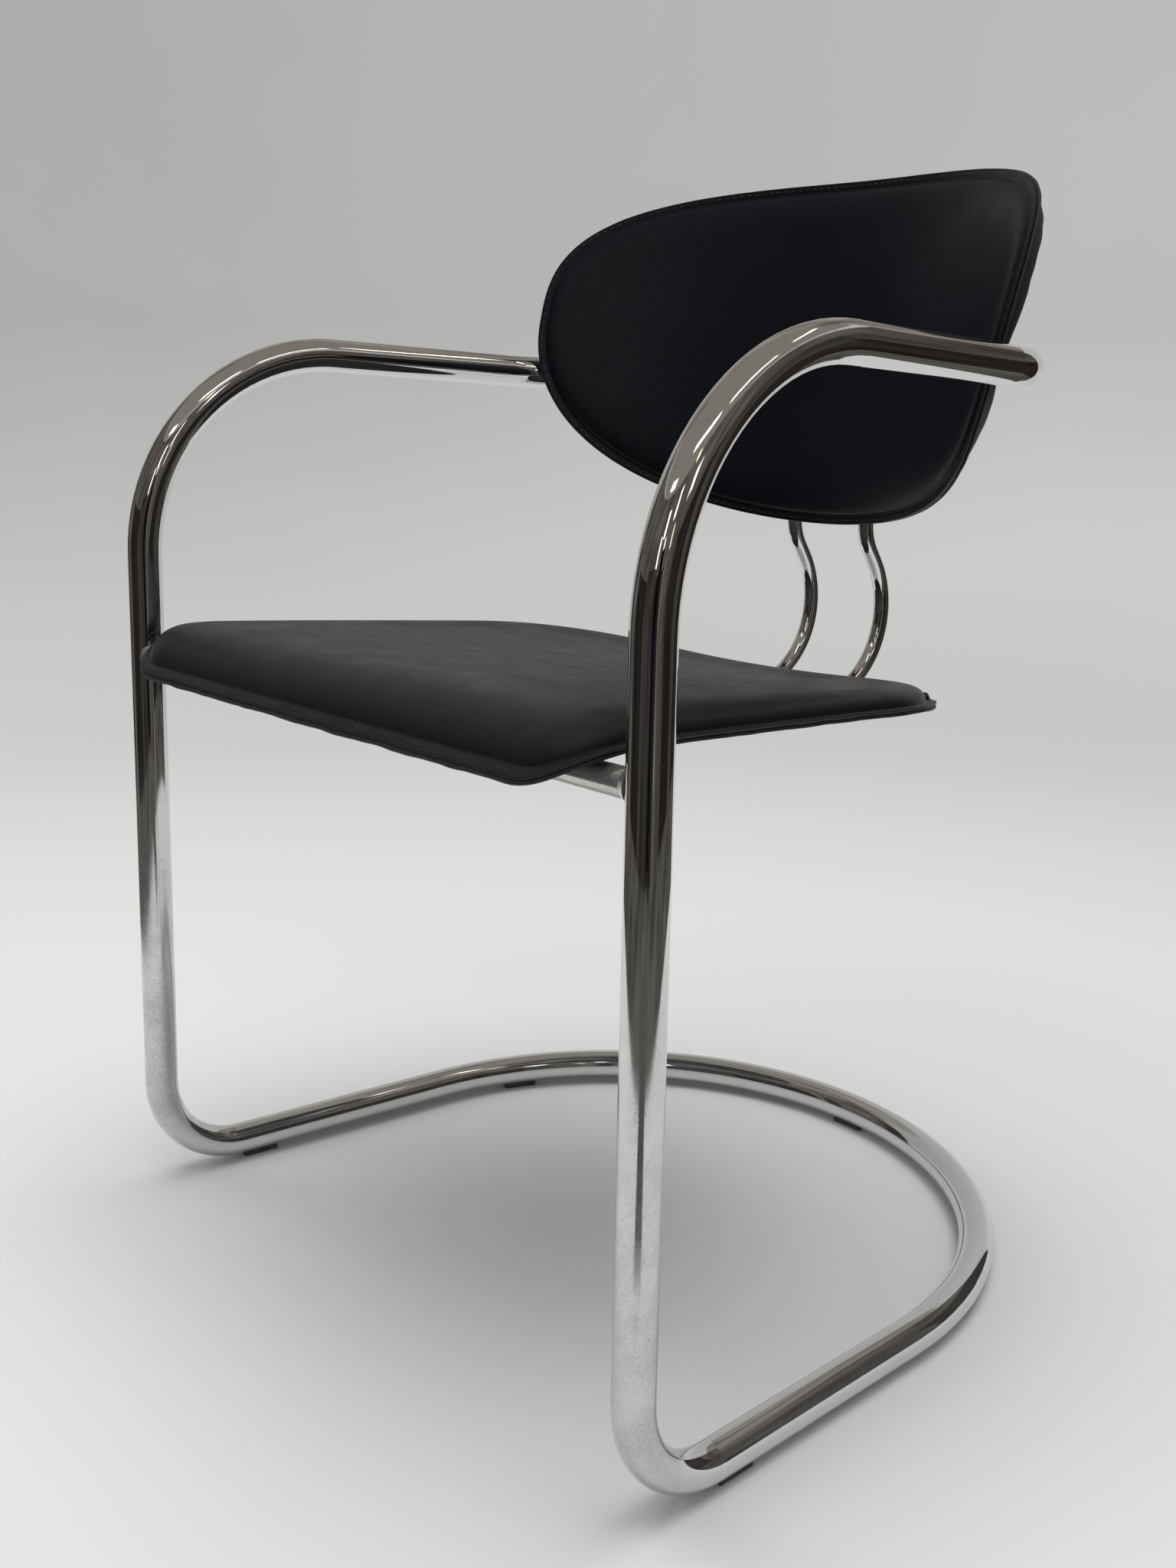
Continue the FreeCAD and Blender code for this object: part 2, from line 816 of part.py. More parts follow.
def save(name, shape):
    shape.translate(originShift())
    shape.exportStep("parts/" + name + ".step")
    solids = shape.Solids
    print(name, len(solids), "solids", round(shape.Volume), "valid", shape.isValid())


def main():
    os.makedirs("parts", exist_ok=True)
    for side, name in ((1, "left"), (-1, "right")):
        save("frame_tube_" + name, frameTube(side))
        save("arm_end_cap_" + name, armCap(side))
        save("back_rod_" + name, backRod(side))
    save("base_sleeve", baseSleeve())
    for seat in glideSeats():
        save("glide_" + seat[0], glide(seat))
    save("glide_pins", group(glidePin(seat) for seat in glideSeats()))
    save("crossbar", crossbar())
    save("crossbar_welds", group(crossbarWelds()))
    save("rod_welds", group(rodWelds()))
    save("seat_strap", seatStrap())
    save("seat_core", seatCore())
    save("seat_foam", seatFoam())
    save("seat_top_leather", seatTopLeather())
    save("seat_under_leather", seatUnderLeather())
    save("seat_inserts", group(seatInserts()))
    save("front_seat_screws", group(seatScrews(frontScrewShanks(), frontScrewLow())))
    save("rear_seat_screws", group(seatScrews(rearScrewShanks(), rearScrewLow())))
    save("back_core", backCore())
    save("back_foam", backFoam())
    save("back_front_leather", backFrontLeather())
    save("back_rear_leather", backRearLeather())
    save("back_inserts", group(backInsert(place) for place in backFixings()))
    save("arm_studs", group(armStud(side) for side in (1, -1)))
    save("rod_plate", rodPlate())
    save("plate_screws", group(plateScrews()))


main()
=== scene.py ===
import math

import bmesh
import bpy
from mathutils import Matrix, Vector, noise


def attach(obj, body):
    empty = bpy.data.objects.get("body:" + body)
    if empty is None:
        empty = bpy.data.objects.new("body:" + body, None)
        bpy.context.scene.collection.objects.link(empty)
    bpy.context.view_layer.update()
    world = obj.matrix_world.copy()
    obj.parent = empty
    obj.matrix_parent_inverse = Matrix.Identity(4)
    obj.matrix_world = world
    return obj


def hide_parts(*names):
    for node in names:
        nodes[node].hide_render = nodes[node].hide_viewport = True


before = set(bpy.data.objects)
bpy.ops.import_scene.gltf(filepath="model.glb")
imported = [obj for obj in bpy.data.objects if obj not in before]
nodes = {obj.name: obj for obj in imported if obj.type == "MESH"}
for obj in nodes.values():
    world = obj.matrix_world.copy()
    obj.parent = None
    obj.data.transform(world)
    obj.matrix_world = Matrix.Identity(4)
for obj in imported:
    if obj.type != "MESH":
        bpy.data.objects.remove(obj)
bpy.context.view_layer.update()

scene = bpy.context.scene
mm = 0.001
print("frame loaded, pieces:", len(nodes))

# camera: place in mm, angles in degrees

view = {
    "place": (893.7, -796.6, 619.7),
    "azimuth": 49.837,
    "down": 12.963,
    "roll": 0.51,
    "lens": 38.36,
}


def makeCamera():
    data = bpy.data.cameras.new("camera")
    data.sensor_width = 36
    data.lens = view["lens"]
    data.clip_start = 0.05
    cam = bpy.data.objects.new("camera", data)
    scene.collection.objects.link(cam)
    az, down, roll = (math.radians(view[k]) for k in ("azimuth", "down", "roll"))
    ahead = Vector((-math.sin(az) * math.cos(down), math.cos(az) * math.cos(down), -math.sin(down)))
    right = Vector((math.cos(az), math.sin(az), 0))
    up = right.cross(ahead)
    across = right * math.cos(roll) + up * math.sin(roll)
    above = up * math.cos(roll) - right * math.sin(roll)
    turn = Matrix((across, above, -ahead)).transposed()
    cam.matrix_world = Matrix.Translation(Vector(view["place"]) * mm) @ turn.to_4x4()
    scene.camera = cam


# node tree helpers

def add(tree, kind, sockets=None, **settings):
    made = tree.nodes.new(kind)
    for key, value in settings.items():
        setattr(made, key, value)
    for key, value in (sockets or {}).items():
        if isinstance(value, bpy.types.NodeSocket):
            tree.links.new(value, made.inputs[key])
        else:
            made.inputs[key].default_value = value
    return made


def blendColour(tree, share, first, second, how="MIX"):
    made = tree.nodes.new("ShaderNodeMix")
    made.data_type = "RGBA"
    made.blend_type = how
    for index, value in ((0, share), (6, first), (7, second)):
        if isinstance(value, bpy.types.NodeSocket):
            tree.links.new(value, made.inputs[index])
        else:
            made.inputs[index].default_value = value
    return made.outputs[2]


def sums(tree, how, first, second=0.0, clamp=False):
    made = tree.nodes.new("ShaderNodeMath")
    made.operation = how
    made.use_clamp = clamp
    for index, value in ((0, first), (1, second)):
        if isinstance(value, bpy.types.NodeSocket):
            tree.links.new(value, made.inputs[index])
        else:
            made.inputs[index].default_value = value
    return made.outputs[0]


def rescale(tree, value, low, high, toLow=0.0, toHigh=1.0):
    made = add(tree, "ShaderNodeMapRange", {0: value, 1: low, 2: high, 3: toLow, 4: toHigh}, clamp=True)
    return made.outputs[0]


def startGroup(name, inputs, outputs):
    group = bpy.data.node_groups.new(name, "ShaderNodeTree")
    for label, kind, value in inputs:
        made = group.interface.new_socket(name=label, in_out="INPUT", socket_type=kind)
        if value is not None:
            made.default_value = value
    for label, kind in outputs:
        group.interface.new_socket(name=label, in_out="OUTPUT", socket_type=kind)
    return group, group.nodes.new("NodeGroupInput").outputs, group.nodes.new("NodeGroupOutput").inputs


def startMaterial(name):
    material = bpy.data.materials.new(name)
    material.use_nodes = True
    tree = material.node_tree
    shader = next(n for n in tree.nodes if n.type == "BSDF_PRINCIPLED")
    place = add(tree, "ShaderNodeTexCoord").outputs["Object"]
    return material, tree, shader, place


def connect(tree, shader, sources):
    for key, value in sources.items():
        if isinstance(value, bpy.types.NodeSocket):
            tree.links.new(value, shader.inputs[key])
        else:
            shader.inputs[key].default_value = value


# shared effects: leather grain with dust and painted sheen, clouded plating, moulded plastic

def leatherGroup():
    group, given, out = startGroup(
        "leatherSkin",
        [("Place", "NodeSocketVector", None), ("Colour", "NodeSocketColor", (0.02, 0.02, 0.02, 1)),
         ("DustAndSheen Colour", "NodeSocketColor", (0.2, 0.2, 0.19, 1)), ("DustAndSheen", "NodeSocketFloat", 0.3),
         ("Creases", "NodeSocketFloat", 0.3), ("Grain", "NodeSocketFloat", 0.2),
         ("Smoothness", "NodeSocketFloat", 0.5)],
        [("Colour", "NodeSocketColor"), ("Roughness", "NodeSocketFloat"), ("Normal", "NodeSocketVector")])
    place = given["Place"]
    pores = add(group, "ShaderNodeTexVoronoi", {"Vector": place, "Scale": 900.0, "Randomness": 1.0})
    fine = add(group, "ShaderNodeTexNoise",
               {"Vector": place, "Scale": 420.0, "Detail": 4.0, "Roughness": 0.6})
    clouds = add(group, "ShaderNodeTexNoise",
                 {"Vector": place, "Scale": 9.0, "Detail": 6.0, "Roughness": 0.62})
    patches = add(group, "ShaderNodeTexNoise",
                  {"Vector": place, "Scale": 38.0, "Detail": 5.0, "Roughness": 0.7})
    bent = add(group, "ShaderNodeVectorMath", {0: patches.outputs["Color"], 1: (0.03, 0.03, 0.03)},
               operation="MULTIPLY")
    shifted = add(group, "ShaderNodeVectorMath", {0: place, 1: bent.outputs[0]}, operation="ADD")
    lines = add(group, "ShaderNodeTexVoronoi", {"Vector": shifted.outputs[0], "Scale": 26.0},
                feature="DISTANCE_TO_EDGE")
    crease = rescale(group, lines.outputs["Distance"], 0.0, 0.05, 1.0, 0.0)
    crease = sums(group, "MULTIPLY", crease, rescale(group, patches.outputs[0], 0.45, 0.7))
    # the light patches mixed in here are partly real dust and partly painted sheen; the amount comes in from
    # the material
    dustAndSheenMask = sums(group, "MULTIPLY", rescale(group, clouds.outputs[0], 0.3, 0.72), given["DustAndSheen"])
    dustAndSheenMask = sums(group, "MULTIPLY", dustAndSheenMask, rescale(group, fine.outputs[0], 0.2, 0.8, 0.55, 1.35), clamp=True)
    creaseShare = sums(group, "MULTIPLY", crease, given["Creases"])
    colour = blendColour(group, dustAndSheenMask, given["Colour"], given["DustAndSheen Colour"])
    # painted shade: the crease lines are darkened
    colour = blendColour(group, sums(group, "MULTIPLY", creaseShare, 0.35), colour, (0.006, 0.006, 0.006, 1))
    rough = sums(group, "SUBTRACT", 0.78, sums(group, "MULTIPLY", given["Smoothness"], 0.5))
    rough = sums(group, "ADD", rough, sums(group, "MULTIPLY", dustAndSheenMask, 0.35), clamp=True)
    rough = sums(group, "ADD", rough, rescale(group, patches.outputs[0], 0.3, 0.7, -0.05, 0.06), clamp=True)
    height = sums(group, "MULTIPLY", pores.outputs["Distance"], given["Grain"])
    height = sums(group, "ADD", height, sums(group, "MULTIPLY", fine.outputs[0], given["Grain"]))
    height = sums(group, "SUBTRACT", height, creaseShare)
    bump = add(group, "ShaderNodeBump", {"Strength": 0.35, "Distance": 0.0004, "Height": height})
    swell = sums(group, "MULTIPLY", clouds.outputs[0], given["Creases"])
    wide = add(group, "ShaderNodeBump", {"Strength": 0.5, "Distance": 0.006, "Height": swell,
                                         "Normal": bump.outputs[0]})
    for key, value in (("Colour", colour), ("Roughness", rough), ("Normal", wide.outputs[0])):
        group.links.new(value, out[key])
    return group


def platingGroup():
    group, given, out = startGroup(
        "cloudedPlating",
        [("Place", "NodeSocketVector", None), ("Bright", "NodeSocketColor", (0.8, 0.8, 0.79, 1)),
         ("Dull", "NodeSocketColor", (0.5, 0.5, 0.48, 1)), ("Cloud Top", "NodeSocketFloat", 0.36),
         ("Cloud", "NodeSocketFloat", 0.5), ("Specks", "NodeSocketFloat", 0.3)],
        [("Colour", "NodeSocketColor"), ("Roughness", "NodeSocketFloat"), ("Metallic", "NodeSocketFloat"),
         ("Normal", "NodeSocketVector")])
    place = given["Place"]
    height = add(group, "ShaderNodeSeparateXYZ", {0: place}).outputs["Z"]
    low = rescale(group, sums(group, "SUBTRACT", given["Cloud Top"], height), -0.02, 0.2)
    low = sums(group, "MULTIPLY", low, rescale(group, height, 0.028, 0.06, 0.25, 1.0))
    soft = add(group, "ShaderNodeTexNoise",
               {"Vector": place, "Scale": 30.0, "Detail": 6.0, "Roughness": 0.7})
    fine = add(group, "ShaderNodeTexNoise",
               {"Vector": place, "Scale": 700.0, "Detail": 3.0, "Roughness": 0.7})
    smear = add(group, "ShaderNodeTexNoise", {"Vector": place, "Scale": 7.0, "Detail": 4.0})
    cloud = sums(group, "MULTIPLY", low, rescale(group, soft.outputs[0], 0.34, 0.66, 0.35, 1.0))
    cloud = sums(group, "MULTIPLY", cloud, given["Cloud"], clamp=True)
    cloud = sums(group, "MULTIPLY", cloud, rescale(group, fine.outputs[0], 0.3, 0.75, 0.5, 1.4), clamp=True)
    dots = add(group, "ShaderNodeTexVoronoi", {"Vector": place, "Scale": 330.0})
    few = add(group, "ShaderNodeTexNoise", {"Vector": place, "Scale": 90.0, "Detail": 2.0})
    speck = sums(group, "MULTIPLY", rescale(group, dots.outputs["Distance"], 0.1, 0.22, 1.0, 0.0),
                 rescale(group, few.outputs[0], 0.58, 0.66))
    speck = sums(group, "MULTIPLY", speck, given["Specks"], clamp=True)
    colour = blendColour(group, cloud, given["Bright"], given["Dull"])
    colour = blendColour(group, speck, colour, (0.12, 0.1, 0.08, 1))
    rough = sums(group, "ADD", 0.035, rescale(group, smear.outputs[0], 0.4, 0.8, 0.0, 0.04))
    rough = sums(group, "ADD", rough, sums(group, "MULTIPLY", cloud, 0.4))
    rough = sums(group, "ADD", rough, sums(group, "MULTIPLY", speck, 0.4), clamp=True)
    metal = sums(group, "SUBTRACT", 1.0, sums(group, "MULTIPLY", cloud, 0.35), clamp=True)
    bump = add(group, "ShaderNodeBump", {"Strength": 0.12, "Distance": 0.0002,
                                         "Height": sums(group, "MULTIPLY", fine.outputs[0], cloud)})
    for key, value in (("Colour", colour), ("Roughness", rough), ("Metallic", metal),
                       ("Normal", bump.outputs[0])):
        group.links.new(value, out[key])
    return group


def mouldedGroup():
    group, given, out = startGroup(
        "mouldedSurface",
        [("Place", "NodeSocketVector", None), ("Colour", "NodeSocketColor", (0.03, 0.03, 0.03, 1)),
         ("Scale", "NodeSocketFloat", 500.0), ("Variation", "NodeSocketFloat", 0.3)],
        [("Colour", "NodeSocketColor"), ("Roughness", "NodeSocketFloat"), ("Normal", "NodeSocketVector")])
    grain = add(group, "ShaderNodeTexNoise",
                {"Vector": given["Place"], "Scale": given["Scale"], "Detail": 3.0})
    wide = add(group, "ShaderNodeTexNoise", {"Vector": given["Place"], "Scale": 60.0, "Detail": 4.0})
    share = sums(group, "MULTIPLY", rescale(group, wide.outputs[0], 0.35, 0.7), given["Variation"])
    colour = blendColour(group, share, given["Colour"], (0.3, 0.29, 0.27, 1))
    rough = rescale(group, wide.outputs[0], 0.3, 0.7, 0.4, 0.62)
    bump = add(group, "ShaderNodeBump", {"Strength": 0.3, "Distance": 0.0003, "Height": grain.outputs[0]})
    for key, value in (("Colour", colour), ("Roughness", rough), ("Normal", bump.outputs[0])):
        group.links.new(value, out[key])
    return group


leatherSkin = leatherGroup()
cloudedPlating = platingGroup()
mouldedSurface = mouldedGroup()


def leather(name, look):
    material, tree, shader, place = startMaterial(name)
    skin = add(tree, "ShaderNodeGroup", node_tree=leatherSkin)
    tree.links.new(place, skin.inputs["Place"])
    for key in ("Colour", "DustAndSheen Colour", "Creases", "Grain", "Smoothness"):
        skin.inputs[key].default_value = look[key]
    # painted sheen: the light share grows away from the edge, so the top is lighter and the rolled edge
    # darker; partly real dust, partly painted sheen
    edge = add(tree, "ShaderNodeAttribute", attribute_name="fromEdge").outputs["Fac"]
    dustAndSheenByEdge = rescale(tree, edge, 0.2 * look["dust and sheen from"], look["dust and sheen from"],
                      0.12 * look["DustAndSheen"], look["DustAndSheen"])
    tree.links.new(dustAndSheenByEdge, skin.inputs["DustAndSheen"])
    # painted shade: a dark line along the groove at the seam, where the pad rises from the flange
    seam = sums(tree, "ABSOLUTE", sums(tree, "SUBTRACT", edge, look["seam"]))
    seamDark = rescale(tree, seam, 0.0, 1.1, 0.75, 0.0)
    rawEdge = rescale(tree, edge, 0.2, 0.9, 0.6, 0.0)
    colour = blendColour(tree, seamDark, skin.outputs["Colour"], (0.004, 0.004, 0.004, 1))
    colour = blendColour(tree, rawEdge, colour, look["Raw"])
    connect(tree, shader, {"Base Color": colour, "Roughness": skin.outputs["Roughness"],
                           "Normal": skin.outputs["Normal"], "Specular IOR Level": look["specular"],
                           "Sheen Weight": look["sheen"], "Sheen Roughness": 0.45,
                           "Sheen Tint": (0.75, 0.78, 0.85, 1)})
    return material


def plating(name, look):
    material, tree, shader, place = startMaterial(name)
    coat = add(tree, "ShaderNodeGroup", node_tree=cloudedPlating)
    tree.links.new(place, coat.inputs["Place"])
    for key, value in look.items():
        coat.inputs[key].default_value = value
    connect(tree, shader, {"Base Color": coat.outputs["Colour"], "Roughness": coat.outputs["Roughness"],
                           "Metallic": coat.outputs["Metallic"], "Normal": coat.outputs["Normal"]})
    return material


def moulded(name, colour, scale=500.0, variation=0.3, metallic=0.0):
    material, tree, shader, place = startMaterial(name)
    skin = add(tree, "ShaderNodeGroup", node_tree=mouldedSurface)
    tree.links.new(place, skin.inputs["Place"])
    skin.inputs["Colour"].default_value = (*colour, 1)
    skin.inputs["Scale"].default_value = scale
    skin.inputs["Variation"].default_value = variation
    connect(tree, shader, {"Base Color": skin.outputs["Colour"], "Roughness": skin.outputs["Roughness"],
                           "Normal": skin.outputs["Normal"], "Metallic": metallic})
    return material


def plywood(name):
    material, tree, shader, place = startMaterial(name)
    long = add(tree, "ShaderNodeMapping", {"Vector": place, "Scale": (30.0, 300.0, 1200.0)})
    grain = add(tree, "ShaderNodeTexNoise", {"Vector": long.outputs[0], "Scale": 1.0, "Detail": 5.0})
    colour = blendColour(tree, rescale(tree, grain.outputs[0], 0.35, 0.7),
                         (0.5, 0.34, 0.19, 1), (0.66, 0.5, 0.32, 1))
    bump = add(tree, "ShaderNodeBump", {"Strength": 0.2, "Distance": 0.0003, "Height": grain.outputs[0]})
    connect(tree, shader, {"Base Color": colour,
                           "Roughness": rescale(tree, grain.outputs[0], 0.3, 0.7, 0.6, 0.75),
                           "Normal": bump.outputs[0]})
    return material


# finishes, one dictionary for each

# each leather's light mixed-in colour and its amount are partly real dust and partly painted sheen of the lit
# top
seatLook = {"Colour": (0.0042, 0.0052, 0.0075, 1), "DustAndSheen Colour": (0.066, 0.066, 0.065, 1), "DustAndSheen": 0.36,
            "Creases": 0.3, "Grain": 0.4, "Smoothness": 0.62, "Raw": (0.016, 0.015, 0.014, 1),
            "seam": 6.8, "specular": 0.5, "sheen": 0.01, "dust and sheen from": 125.0}
backLook = {"Colour": (0.0012, 0.0022, 0.0052, 1), "DustAndSheen Colour": (0.02, 0.024, 0.032, 1), "DustAndSheen": 0.06,
            "Creases": 0.12, "Grain": 0.25, "Smoothness": 0.66, "Raw": (0.010, 0.009, 0.008, 1),
            "seam": 6.8, "specular": 0.3, "sheen": 0.0, "dust and sheen from": 60.0}
rearLook = {"Colour": (0.010, 0.011, 0.013, 1), "DustAndSheen Colour": (0.09, 0.09, 0.09, 1), "DustAndSheen": 0.3,
            "Creases": 0.9, "Grain": 0.6, "Smoothness": 0.5, "Raw": (0.012, 0.011, 0.010, 1),
            "seam": 6.8, "specular": 0.5, "sheen": 0.03, "dust and sheen from": 16.0}
chromeLook = {"Bright": (0.72, 0.725, 0.73, 1), "Dull": (0.36, 0.365, 0.36, 1), "Cloud Top": 0.34,
              "Cloud": 0.6, "Specks": 0.6}
barLook = {"Bright": (0.66, 0.66, 0.65, 1), "Dull": (0.36, 0.36, 0.35, 1), "Cloud Top": 0.60,
           "Cloud": 0.6, "Specks": 0.6}

seatLeather = leather("seatLeather", seatLook)
backLeather = leather("backLeather", backLook)
rearLeather = leather("rearLeather", rearLook)
underLeather = leather("underLeather", dict(rearLook, DustAndSheen=0.25, Creases=0.4))
tubeChrome = plating("tubeChrome", chromeLook)
barChrome = plating("barChrome", barLook)
glidePlastic = moulded("glidePlastic", (0.012, 0.012, 0.012), variation=0.12)
capPlastic = moulded("capPlastic", (0.015, 0.015, 0.015), variation=0.05)
platedSteel = moulded("platedSteel", (0.55, 0.55, 0.53), scale=900.0, variation=0.2, metallic=0.9)
foam = moulded("foam", (0.7, 0.66, 0.5), scale=1500.0, variation=0.1)
ply = plywood("plywood")
thread = moulded("thread", (0.018, 0.018, 0.019), scale=2500.0, variation=0.1)

carried = {
    tubeChrome: ("frame_tube_left", "frame_tube_right", "back_rod_left", "back_rod_right"),
    barChrome: ("crossbar", "crossbar_welds", "rod_welds", "seat_strap", "rod_plate"),
    glidePlastic: ("glide_front_left", "glide_front_right", "glide_side_left", "glide_side_right",
                   "glide_rear", "glide_pins"),
    capPlastic: ("arm_end_cap_left", "arm_end_cap_right"),
    platedSteel: ("base_sleeve", "arm_studs", "seat_inserts", "back_inserts", "front_seat_screws",
                  "rear_seat_screws", "plate_screws"),
    foam: ("seat_foam", "back_foam"),
    ply: ("seat_core", "back_core"),
}
for material, names in carried.items():
    for name in names:
        for slot in nodes[name].material_slots:
            slot.material = material
print("finishes made")

# closed lines that the leathers are cut to, in mm

def evenly(points, count):
    lengths = [0.0]
    for i, point in enumerate(points):
        lengths.append(lengths[-1] + (points[(i + 1) % len(points)] - point).length)
    found = []
    i = 0
    for k in range(count):
        goal = lengths[-1] * k / count
        while lengths[i + 1] < goal:
            i += 1
        share = (goal - lengths[i]) / (lengths[i + 1] - lengths[i])
        found.append(points[i].lerp(points[(i + 1) % len(points)], share))
    return found, lengths[-1]


def roundedCorners(corners):
    line = []
    marks = []
    for i, (x, y, radius) in enumerate(corners):
        here = Vector((x, y))
        before = (Vector(corners[i - 1][:2]) - here).normalized()
        after = (Vector(corners[(i + 1) % len(corners)][:2]) - here).normalized()
        half = before.angle(after) / 2
        centre = here + (before + after).normalized() * (radius / math.sin(half))
        start = here + before * (radius / math.tan(half)) - centre
        sweep = math.pi - 2 * half
        marks.append(here)
        for k in range(25):
            turn = Matrix.Rotation(sweep * k / 24, 2)
            line.append(centre + turn @ start)
    return line, marks


# a cut line holds even points, the inward direction at each, and where its four corners are
def makeCut(line, marks):
    points, length = evenly(line, 2400)
    count = len(points)
    inward = []
    for i in range(count):
        along = points[(i + 9) % count] - points[i - 9]
        inward.append(Vector((-along.y, along.x)).normalized())
    nearest = [min(range(count), key=lambda i: (points[i] - mark).length) for mark in marks]
    return {"points": points, "inward": inward, "length": length, "corners": [i / count for i in nearest]}


# the point at a share of the line's length, some way inside it
def cutPoint(cut, share, inset=0.0):
    count = len(cut["points"])
    place = (share % 1.0) * count
    i = int(place) % count
    j = (i + 1) % count
    part = place - int(place)
    point = cut["points"][i].lerp(cut["points"][j], part)
    return point + cut["inward"][i].lerp(cut["inward"][j], part) * inset


# the share of the line that lies part of the way along one of its four sides
def sideShare(cut, side, part):
    first = cut["corners"][side]
    last = cut["corners"][(side + 1) % 4]
    if last <= first:
        last += 1
    return first + (last - first) * part


def gridShare(x, y):
    r = max(abs(x), abs(y))
    if r < 1e-6:
        return 0, 0.0, 0.0
    u, v = x / r, y / r
    if v <= -1 + 1e-6:
        return 0, (u + 1) / 2, r
    if u >= 1 - 1e-6:
        return 1, (v + 1) / 2, r
    if v >= 1 - 1e-6:
        return 2, (1 - u) / 2, r
    return 3, (1 - v) / 2, r


# A cover starts as a square grid, is cut to its line, and gets its height from its section:
# pairs of distance from the edge and height over the stitching line
def makeCover(name, cut, section, place, count, material, rise=0.0, edge=None):
    bm = bmesh.new()
    bmesh.ops.create_grid(bm, x_segments=count, y_segments=count, size=1.0)
    layer = bm.verts.layers.float.new("fromEdge")
    middle = Vector((0.0, 0.0))
    for i in range(4):
        middle += cutPoint(cut, cut["corners"][i]) / 4
    half = count / 2
    inner = len(section) - 1
    for vert in bm.verts:
        side, part, r = gridShare(vert.co.x, vert.co.y)
        ring = (1 - r) * half
        share = sideShare(cut, side, part)
        k = min(int(ring), inner)
        if k < inner:
            split = ring - k
            inset = section[k][0] * (1 - split) + section[k + 1][0] * split
            height = section[k][1] * (1 - split) + section[k + 1][1] * split
            point = cutPoint(cut, share, inset)
        else:
            inset, height = section[inner]
            scale = r / (1 - inner / half)
            point = middle + (cutPoint(cut, share, inset) - middle) * scale
            height += rise * (1 - scale * scale)
            inset += (1 - scale) * 200
        if edge:
            point, height = edge(point, height, share, inset)
        vert.co = place(point, height) * mm
        vert[layer] = inset
    bmesh.ops.recalc_face_normals(bm, faces=bm.faces)
    mesh = bpy.data.meshes.new(name)
    bm.to_mesh(mesh)
    bm.free()
    piece = bpy.data.objects.new(name, mesh)
    scene.collection.objects.link(piece)
    mesh.materials.append(material)
    mesh.shade_smooth()
    return piece


# normals leave the piece on the side away from the object's inside
def faceAway(piece, inside):
    mesh = piece.data
    total = sum((Vector(p.center) - inside(p.center)).dot(p.normal) * p.area for p in mesh.polygons)
    if total < 0:
        mesh.flip_normals()


# Air pressure under a held rim. As set here it moves the pad by less than 0.05 mm: its
# fullness comes from the section, and the cap isn't reached
airFrames = 20


def puff(piece, settings):
    mesh = piece.data
    rest = [v.co.copy() for v in mesh.vertices]
    held = piece.vertex_groups.new(name="held")
    edges = mesh.attributes["fromEdge"].data
    for v in mesh.vertices:
        free = min(1.0, max(0.0, (edges[v.index].value - settings["from"]) / settings["over"]))
        held.add([v.index], 1.0 - settings["give"] * free, "REPLACE")
    cloth = piece.modifiers.new("air", "CLOTH")
    cloth.settings.quality = 5
    cloth.settings.mass = 0.4
    cloth.settings.tension_stiffness = settings["stiff"]
    cloth.settings.compression_stiffness = settings["stiff"]
    cloth.settings.bending_stiffness = settings["bend"]
    cloth.settings.shrink_min = settings["shrink"]
    cloth.settings.use_pressure = True
    cloth.settings.uniform_pressure_force = settings["pressure"]
    cloth.settings.vertex_group_mass = "held"
    cloth.settings.pin_stiffness = settings["pin"]
    cloth.settings.effector_weights.gravity = 0.0
    cloth.collision_settings.use_collision = False
    cloth.point_cache.frame_start = 1
    cloth.point_cache.frame_end = airFrames
    for step in range(1, airFrames + 1):
        scene.frame_set(step)
    ready = piece.evaluated_get(bpy.context.evaluated_depsgraph_get()).data
    moved = [v.co.copy() for v in ready.vertices]
    piece.modifiers.remove(cloth)
    scene.frame_set(1)
    widest = 0.0
    for v, now, before in zip(mesh.vertices, moved, rest):
        step = now - before
        widest = max(widest, step.length)
        if step.length > settings["cap"] * mm:
            step *= settings["cap"] * mm / step.length
        v.co = before + step
    piece.vertex_groups.clear()
    mesh.update()
    print(piece.name, "moved at most", round(widest / mm, 1), "mm, capped at", settings["cap"])


def thicken(piece, thickness, level=1):
    wall = piece.modifiers.new("thickness", "SOLIDIFY")
    wall.thickness = thickness * mm
    wall.offset = -1.0
    wall.use_rim = True
    if level:
        smooth = piece.modifiers.new("smooth", "SUBSURF")
        smooth.levels = level
        smooth.render_levels = level


# seat

seat = {
    "frontWidth": 524.0, "rearWidth": 440.0, "overhang": 28.0, "depth": 416.0,
    "frontCorner": 44.0, "rearCorner": 133.0, "height": 443.2, "slope": 0.09,
    "droop": 22.5, "droopRun": 86.0, "dish": 12.0, "dishWidth": 412.0,
    "legLine": -248.35,          # y of the leg axes at the floor
    "leather": 2.2, "rise": 1.5, "fullUntil": 60.0, "thinBack": 0.36,
    "pucker": 0.45, "puckerReach": 150.0,
}


def seatLevel(x, y):
    back = y - seat["legLine"]
    droopStart = seat["droopRun"] - seat["overhang"]
    droop = seat["droop"] * (max(0.0, droopStart - back) / seat["droopRun"]) ** 4
    rearward = (back + seat["overhang"]) / seat["depth"]
    dish = seat["dish"] * rearward * (2 * x / seat["dishWidth"]) ** 2
    return seat["height"] - seat["slope"] * back - droop + dish


def seatCut():
    front = seat["legLine"] - seat["overhang"]
    rear = front + seat["depth"]
    corners = [(-seat["frontWidth"] / 2, front, seat["frontCorner"]),
               (seat["frontWidth"] / 2, front, seat["frontCorner"]),
               (seat["rearWidth"] / 2, rear, seat["rearCorner"]),
               (-seat["rearWidth"] / 2, rear, seat["rearCorner"])]
    return makeCut(*roundedCorners(corners))


